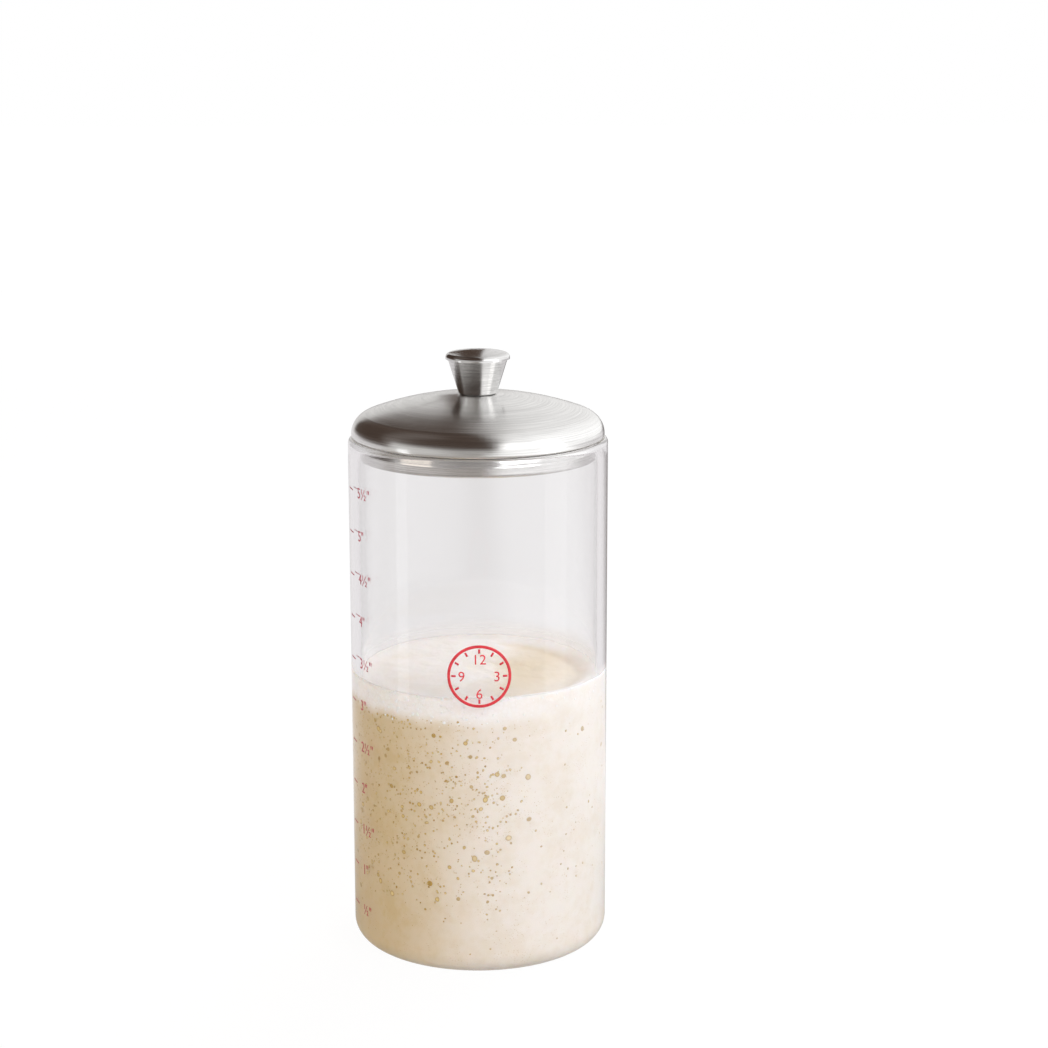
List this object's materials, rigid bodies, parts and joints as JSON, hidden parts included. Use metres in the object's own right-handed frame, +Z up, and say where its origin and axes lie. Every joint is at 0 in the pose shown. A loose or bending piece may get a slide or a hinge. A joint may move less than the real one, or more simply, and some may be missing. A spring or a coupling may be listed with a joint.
{
  "type": "sourdough starter jar",
  "caption": "Straight clear glass jar part full of bubbly sourdough starter, with a printed fill scale and a loose domed steel lid with a flared knob.",
  "frame": {"origin": "on the jar's axis, at the level it stands on", "axes": "+Z up along the jar's axis; the picture looks along +Y, with the printed scale on the left, towards -X"},
  "size_m": [0.0762, 0.0762, 0.1787],
  "materials": {
    "jar_glass": "gloss",
    "starter_dough": "satin",
    "spun_steel": "satin",
    "fastener_steel": "satin",
    "scale_ink": "gloss"
  },
  "bodies": {
    "jar": {"glass_jar": "jar_glass", "starter": "starter_dough"},
    "lid": {"lid_dome": "spun_steel", "lid_skirt": "spun_steel", "knob_body": "spun_steel", "knob_cap": "spun_steel", "knob_insert": "fastener_steel", "knob_screw": "fastener_steel", "flat_washer": "fastener_steel", "lock_washer": "fastener_steel"}
  },
  "joints": [
    {"name": "lid_lift", "type": "slide", "parent": "jar", "child": "lid", "axis": [0, 0, 1], "range_m": [0, 0.08]}
  ]
}
